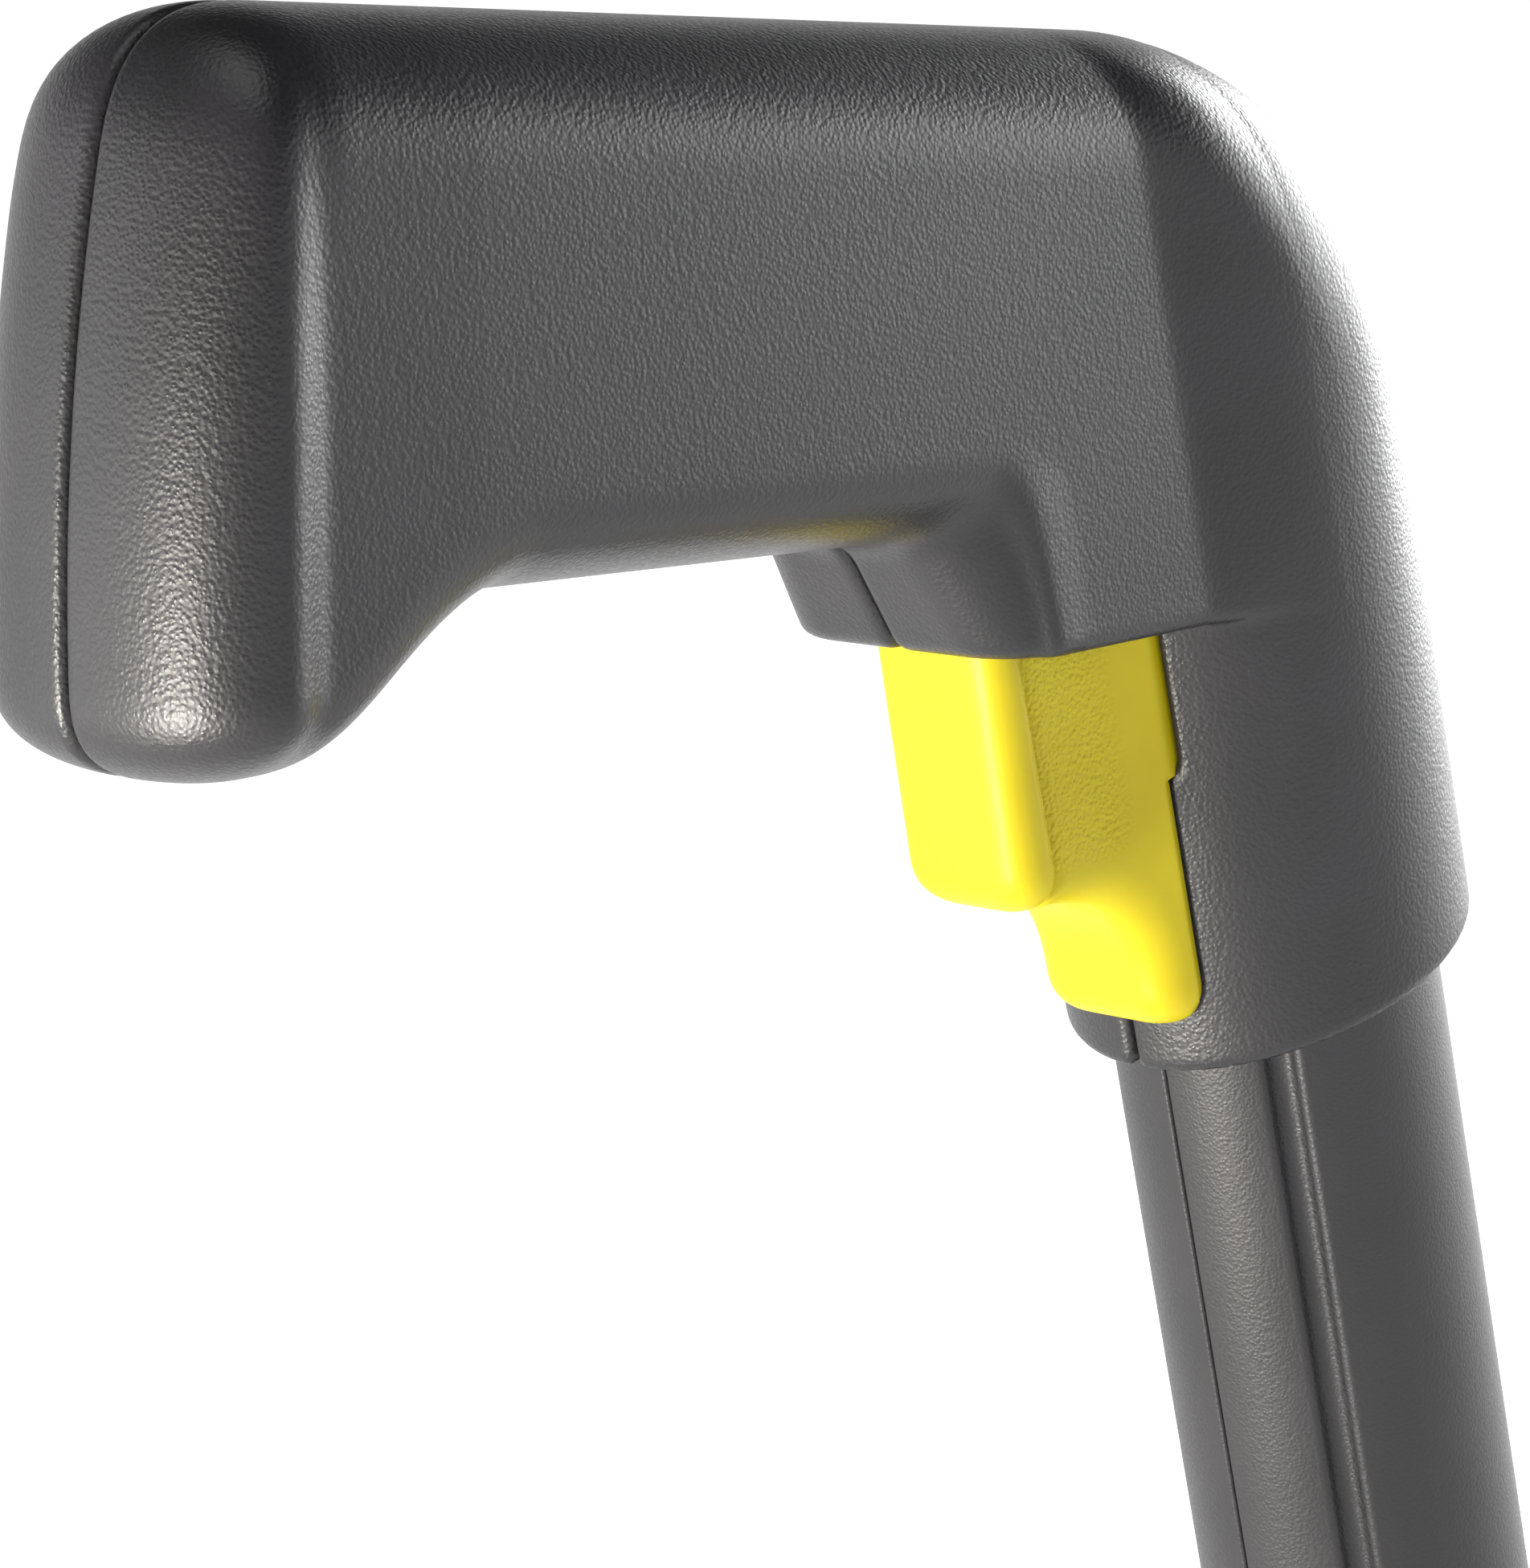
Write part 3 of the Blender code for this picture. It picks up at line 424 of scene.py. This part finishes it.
def surface(solid, xs, ys, zs):
    """Points and quads of a solid's surface: one point in each crossed cell of the grid."""
    values = sample(solid, xs, ys, zs)
    inside = values < 0.0
    inside_border = any(np.take(inside, end, axis=axis).any() for axis in range(3) for end in (0, -1))
    if inside_border:
        raise ValueError("the solid reaches the edge of its grid")
    filled = np.zeros(tuple(n - 1 for n in inside.shape), int)
    for i in (0, 1):
        for j in (0, 1):
            for k in (0, 1):
                filled += inside[i:len(xs) - 1 + i, j:len(ys) - 1 + j, k:len(zs) - 1 + k]
    cells = np.argwhere((filled > 0) & (filled < 8))
    number = np.full(filled.shape, -1)
    number[tuple(cells.T)] = np.arange(len(cells))
    points = settle(solid, crossing_mean(values, cells, (xs, ys, zs)))
    faces = []
    for axis in range(3):
        after = np.roll(inside, -1, axis=axis)
        edges = inside != after
        edges[tuple(slice(-1, None) if other == axis else slice(None) for other in range(3))] = False
        edge = np.argwhere(edges)
        one, two = [other for other in range(3) if other != axis]
        if axis == 1:
            one, two = two, one
        ring = []
        for back_one, back_two in ((1, 1), (0, 1), (0, 0), (1, 0)):
            cell = edge.copy()
            cell[:, one] -= back_one
            cell[:, two] -= back_two
            ring.append(number[tuple(cell.T)])
        quads = np.stack(ring, axis=1)
        entering = ~inside[tuple(edge.T)]
        quads[entering] = quads[entering][:, ::-1]
        faces.append(quads)
    return points, np.concatenate(faces)


def levels(*stops):
    """Grid levels from stops of (place, spacing from here to the next stop)."""
    made = []
    for (start, spacing), (end, _) in zip(stops, stops[1:]):
        count = max(1, round((end - start) / spacing))
        made.extend(np.linspace(start, end, count, endpoint=False))
    made.append(stops[-1][0])
    return np.array(made)


def moulded(name, solid, grid, look, lift=0.0):
    """A closed, smooth mesh object of a solid, lifted to its height in the frame."""
    points, quads = surface(solid, *grid)
    points[:, 2] += lift
    mesh = bpy.data.meshes.new(name)
    mesh.from_pydata(points * MM, [], quads.tolist())
    mesh.materials.append(look)
    mesh.shade_smooth()
    piece = bpy.data.objects.new(name, mesh)
    bpy.context.scene.collection.objects.link(piece)
    return piece


def half_levels(side, reach, spacing):
    """Levels across one half, finest at the seam."""
    stops = levels((-0.3, 0.18), (1.5, 0.3), (3.0, spacing), (reach, spacing))
    return stops if side > 0 else -stops[::-1]


# ---------------------------------------------------------------- materials

def shader_setup(name):
    """A new node material, its node tree and its Principled shader."""
    look = bpy.data.materials.new(name)
    look.use_nodes = True
    return look, look.node_tree, look.node_tree.nodes["Principled BSDF"]


def node(tree, kind, values=None, **settings):
    """A node with its settings and the values of its input sockets."""
    made = tree.nodes.new(kind)
    for key, value in settings.items():
        setattr(made, key, value)
    for key, value in (values or {}).items():
        made.inputs[key].default_value = value
    return made


def link(tree, source, output, target, socket):
    """Links an output to an input, both by name or index."""
    tree.links.new(source.outputs[output], target.inputs[socket])


def leather_height(tree, size, place):
    """Moulded leather grain of about this size in metres: pebbles with fine creases."""
    bend = node(tree, "ShaderNodeTexNoise", {"Scale": 0.35 / size, "Detail": 2.0})
    link(tree, place, "Object", bend, "Vector")
    shifted = node(tree, "ShaderNodeVectorMath", operation="MULTIPLY_ADD")
    shifted.inputs[1].default_value = (0.6 * size,) * 3
    link(tree, bend, "Color", shifted, 0)
    link(tree, place, "Object", shifted, 2)
    pebbles = node(tree, "ShaderNodeTexVoronoi", {"Scale": 1.0 / size, "Smoothness": 0.55},
                   feature="SMOOTH_F1")
    link(tree, shifted, "Vector", pebbles, "Vector")
    fine = node(tree, "ShaderNodeTexNoise", {"Scale": 1.8 / size, "Detail": 1.0})
    link(tree, place, "Object", fine, "Vector")
    height = node(tree, "ShaderNodeMath", operation="MULTIPLY_ADD")
    height.inputs[1].default_value = -3.0
    link(tree, pebbles, "Distance", height, 0)
    link(tree, fine, "Fac", height, 2)
    return height


def tinted(tree, place, dark, light, size, shader):
    """Base colour that wanders a little between two tints."""
    clouds = node(tree, "ShaderNodeTexNoise", {"Scale": 1.0 / size, "Detail": 4.0})
    link(tree, place, "Object", clouds, "Vector")
    ramp = node(tree, "ShaderNodeValToRGB")
    ramp.color_ramp.elements[0].position = 0.35
    ramp.color_ramp.elements[0].color = (*dark, 1.0)
    ramp.color_ramp.elements[1].position = 0.65
    ramp.color_ramp.elements[1].color = (*light, 1.0)
    link(tree, clouds, "Fac", ramp, "Fac")
    link(tree, ramp, "Color", shader, "Base Color")


def grained_plastic(name, dark, light, roughness, grain, depth):
    """Moulded plastic with a leather grain."""
    look, tree, shader = shader_setup(name)
    place = node(tree, "ShaderNodeTexCoord")
    tinted(tree, place, dark, light, 0.012, shader)
    height = leather_height(tree, grain, place)
    bump = node(tree, "ShaderNodeBump", {"Strength": 0.9, "Distance": depth})
    link(tree, height, "Value", bump, "Height")
    link(tree, bump, "Normal", shader, "Normal")
    rough = node(tree, "ShaderNodeMapRange", {"From Min": -1.2, "From Max": 0.5,
                                              "To Min": roughness + 0.06, "To Max": roughness - 0.08})
    link(tree, height, "Value", rough, "Value")
    link(tree, rough, "Result", shader, "Roughness")
    shader.inputs["IOR"].default_value = 1.5
    return look


def trigger_plastic(name):
    """Bright plastic, satin on the pad and the apron and grained on the neck between them."""
    look, tree, shader = shader_setup(name)
    shader.inputs["Specular IOR Level"].default_value = 0.3
    place = node(tree, "ShaderNodeTexCoord")
    tinted(tree, place, (0.53, 0.43, 0.004), (0.57, 0.47, 0.006), 0.010, shader)
    split = node(tree, "ShaderNodeSeparateXYZ")
    link(tree, place, "Object", split, "Vector")
    behind_pad = node(tree, "ShaderNodeMapRange", {"From Min": -33.6 * MM, "From Max": -32.8 * MM})
    link(tree, split, "X", behind_pad, "Value")
    before_barrel = node(tree, "ShaderNodeMapRange", {"From Min": -21.5 * MM, "From Max": -24.5 * MM})
    link(tree, split, "X", before_barrel, "Value")
    above_apron = node(tree, "ShaderNodeMapRange", {"From Min": (RIM + 19.0) * MM,
                                                    "From Max": (RIM + 21.5) * MM})
    link(tree, split, "Z", above_apron, "Value")
    band = node(tree, "ShaderNodeMath", operation="MULTIPLY")
    link(tree, behind_pad, "Result", band, 0)
    link(tree, before_barrel, "Result", band, 1)
    mask = node(tree, "ShaderNodeMath", operation="MULTIPLY")
    link(tree, band, "Value", mask, 0)
    link(tree, above_apron, "Result", mask, 1)
    height = leather_height(tree, 0.45 * MM, place)
    masked = node(tree, "ShaderNodeMath", operation="MULTIPLY")
    link(tree, height, "Value", masked, 0)
    link(tree, mask, "Value", masked, 1)
    bump = node(tree, "ShaderNodeBump", {"Strength": 0.9, "Distance": 0.06 * MM})
    link(tree, masked, "Value", bump, "Height")
    satin = node(tree, "ShaderNodeTexNoise", {"Scale": 900.0, "Detail": 3.0})
    link(tree, place, "Object", satin, "Vector")
    soft = node(tree, "ShaderNodeBump", {"Strength": 0.25, "Distance": 0.05 * MM})
    link(tree, satin, "Fac", soft, "Height")
    link(tree, bump, "Normal", soft, "Normal")
    link(tree, soft, "Normal", shader, "Normal")
    rough = node(tree, "ShaderNodeMapRange", {"To Min": 0.38, "To Max": 0.46})
    link(tree, satin, "Fac", rough, "Value")
    link(tree, rough, "Result", shader, "Roughness")
    shader.inputs["IOR"].default_value = 1.5
    return look


def steel(name, tint, roughness):
    """Plated or blackened steel with fine turning marks and a cloudy finish."""
    look, tree, shader = shader_setup(name)
    place = node(tree, "ShaderNodeTexCoord")
    darker = tuple(0.8 * channel for channel in tint)
    tinted(tree, place, darker, tint, 0.003, shader)
    marks = node(tree, "ShaderNodeTexNoise", {"Scale": 3500.0, "Detail": 2.0})
    link(tree, place, "Object", marks, "Vector")
    bump = node(tree, "ShaderNodeBump", {"Strength": 0.3, "Distance": 0.02 * MM})
    link(tree, marks, "Fac", bump, "Height")
    link(tree, bump, "Normal", shader, "Normal")
    rough = node(tree, "ShaderNodeMapRange", {"To Min": roughness - 0.08, "To Max": roughness + 0.08})
    link(tree, marks, "Fac", rough, "Value")
    link(tree, rough, "Result", shader, "Roughness")
    shader.inputs["Metallic"].default_value = 1.0
    return look


BLACKS = ((0.014, 0.014, 0.016), (0.018, 0.017, 0.020))
GREYS = ((0.28, 0.28, 0.29), (0.33, 0.33, 0.34))
SHELL_LOOK = grained_plastic("housing_grain", *BLACKS, roughness=0.34, grain=0.42 * MM, depth=0.018 * MM)
COLUMN_LOOK = grained_plastic("column_grain", *BLACKS, roughness=0.36, grain=0.34 * MM, depth=0.011 * MM)
INNER_LOOK = grained_plastic("inner_plastic", *GREYS, roughness=0.50, grain=0.80 * MM, depth=0.02 * MM)
TRIGGER_LOOK = trigger_plastic("trigger_plastic")
STEEL_LOOK = steel("zinc_steel", (0.62, 0.62, 0.64), 0.32)
DARK_STEEL_LOOK = steel("black_steel", (0.07, 0.07, 0.075), 0.42)

SLOT_LOOKS = {"shell": SHELL_LOOK, "column": COLUMN_LOOK, "yellow": TRIGGER_LOOK,
              "inner_plastic": INNER_LOOK, "steel": STEEL_LOOK, "dark_steel": DARK_STEEL_LOOK}


# ---------------------------------------------------------------- pieces

def build_handle_half(side, name):
    """One moulded half of the housing, in place of its CAD solid."""
    along = levels((-127.0, 0.75), (-46.0, 0.65), (21.0, 0.65))
    upward = levels((-6.5, 0.65), (72.0, 0.73), (117.0, 0.73))
    grid = (along, half_levels(side, 20.4, 0.68), upward)
    piece = moulded("housing_" + name, handle_half(side), grid, SHELL_LOOK, RIM)
    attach(piece, "handle")
    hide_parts("handle_shell_" + name)


def build_column_half(side, name):
    """One half of the column, in place of its CAD solid."""
    heights = [(COLUMN_LOW[2] - 0.6, 0.3), (COLUMN_LOW[2] + 1.2, 4.0),
               (LOCK_HEIGHT - 8.0, 0.7), (LOCK_HEIGHT + 8.0, 6.0)]
    for height in sorted({round(seat[1], 3) for seat in COLUMN_SCREWS}):
        heights += [(height - 5.0, 0.7), (height + 5.0, 6.0)]
    heights += [(CROSS_PIN[2] - 3.5, 0.7), (CROSS_PIN[2] + 3.5, 2.0),
                (COLUMN_HIGH[2] - 1.2, 0.3), (COLUMN_HIGH[2] + 0.6, 0.3)]
    across = levels((-COLUMN_RADIUS - 0.7, 0.45), (COLUMN_RADIUS + 0.7, 0.45))
    grid = (across, half_levels(side, COLUMN_RADIUS + 0.6, 0.45), levels(*heights))
    piece = moulded("column_" + name, column_half(side), grid, COLUMN_LOOK)
    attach(piece, "handle")
    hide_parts("column_half_" + name)


def build_trigger():
    """The finger trigger, in place of its CAD solid."""
    spacing = 0.4
    spans = ((-38.5, 7.2), (-9.8, 9.8), (-0.4, 47.0))
    grid = [levels((low, spacing), (high, spacing)) for low, high in spans]
    piece = moulded("finger_trigger", trigger_solid, grid, TRIGGER_LOOK, RIM)
    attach(piece, "trigger_carriage")
    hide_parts("trigger")


def finish_cad_nodes():
    """Gives every CAD node the finished look of its material."""
    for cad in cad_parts.values():
        look = SLOT_LOOKS[cad.data.materials[0].name]
        cad.data.materials.clear()
        cad.data.materials.append(look)


build_handle_half(-1, "right")
build_handle_half(1, "left")
build_column_half(-1, "right")
build_column_half(1, "left")
build_trigger()
finish_cad_nodes()


# ---------------------------------------------------------------- stage, light and camera

def build_floor():
    """A wide, pale floor."""
    mesh = bpy.data.meshes.new("floor")
    reach = 30.0
    corners = [(-reach, -reach, 0.0), (reach, -reach, 0.0), (reach, reach, 0.0), (-reach, reach, 0.0)]
    mesh.from_pydata(corners, [], [(0, 1, 2, 3)])
    look, _, shader = shader_setup("floor_white")
    shader.inputs["Base Color"].default_value = (0.4, 0.4, 0.4, 1.0)
    shader.inputs["Roughness"].default_value = 0.9
    shader.inputs["Specular IOR Level"].default_value = 0.0
    shader.inputs["Emission Color"].default_value = (1.0, 1.0, 1.0, 1.0)
    shader.inputs["Emission Strength"].default_value = 1.0
    mesh.materials.append(look)
    floor = bpy.data.objects.new("floor", mesh)
    bpy.context.scene.collection.objects.link(floor)


CAMERA_AZIMUTH = -0.70204
CAMERA_PITCH = 0.30467
CAMERA_ROLL = -0.1847
CAMERA_PLACE = Vector((-0.33512, -0.32807, 0.37232))
CAMERA_LENS = 119.94


def camera_axes():
    """Right, up and backward directions of the camera."""
    back = Vector((math.sin(CAMERA_AZIMUTH) * math.cos(CAMERA_PITCH),
                   -math.cos(CAMERA_AZIMUTH) * math.cos(CAMERA_PITCH), math.sin(CAMERA_PITCH)))
    level = Vector((math.cos(CAMERA_AZIMUTH), math.sin(CAMERA_AZIMUTH), 0.0))
    upright = back.cross(level)
    right = math.cos(CAMERA_ROLL) * level + math.sin(CAMERA_ROLL) * upright
    up = -math.sin(CAMERA_ROLL) * level + math.cos(CAMERA_ROLL) * upright
    return right, up, back


def build_camera():
    """The camera, on the right and towards the grip's end, looking down a little."""
    data = bpy.data.cameras.new("camera")
    data.lens = CAMERA_LENS
    data.clip_start = 0.01
    data.clip_end = 100.0
    camera = bpy.data.objects.new("camera", data)
    right, up, back = camera_axes()
    turn = Matrix((right, up, back)).transposed().to_4x4()
    camera.matrix_world = Matrix.Translation(CAMERA_PLACE) @ turn
    bpy.context.scene.collection.objects.link(camera)
    bpy.context.scene.camera = camera


def soft_light(name, place, target, size, power, tint=(1.0, 1.0, 1.0)):
    """A rectangular soft light that faces a target."""
    data = bpy.data.lights.new(name, "AREA")
    data.shape = "RECTANGLE"
    data.size, data.size_y = size
    data.energy = power
    data.color = tint
    light = bpy.data.objects.new(name, data)
    light.location = place
    light.rotation_euler = (Vector(target) - Vector(place)).to_track_quat("-Z", "Y").to_euler()
    bpy.context.scene.collection.objects.link(light)


def build_lights():
    """Soft studio light: a broad key, a strong rim light, a strip and a surround that is white low down."""
    right, up, back = camera_axes()
    middle = Vector((-0.03, 0.0, 0.26))
    soft_light("key", middle - 0.3 * right + 1.0 * up + 0.5 * back, middle, (0.8, 0.8), 3.0)
    soft_light("rim", middle + Vector((0.95, 0.1, 0.0)), middle, (0.6, 0.5), 13.0)
    soft_light("side", middle + Vector((0.85, -0.45, 0.0)), middle, (0.5, 0.5), 3.5)
    warm = (1.0, 0.95, 0.86)
    soft_light("strip", middle + Vector((-0.9, 0.08, -0.08)), middle, (0.2, 0.34), 14.0, warm)
    soft_light("left", middle + Vector((-0.8, 0.6, 0.1)), middle, (0.8, 0.7), 3.0)
    world = bpy.data.worlds.new("surround")
    world.use_nodes = True
    tree = world.node_tree
    place = node(tree, "ShaderNodeTexCoord")
    split = node(tree, "ShaderNodeSeparateXYZ")
    link(tree, place, "Generated", split, "Vector")
    fade = node(tree, "ShaderNodeMapRange", {"From Min": 0.14, "From Max": 0.40,
                                             "To Min": 1.0, "To Max": 0.04})
    link(tree, split, "Z", fade, "Value")
    background = tree.nodes["Background"]
    background.inputs["Color"].default_value = (1.0, 1.0, 1.0, 1.0)
    link(tree, fade, "Result", background, "Strength")
    bpy.context.scene.world = world
    bpy.context.scene.view_settings.view_transform = "Standard"


build_floor()
build_camera()
build_lights()
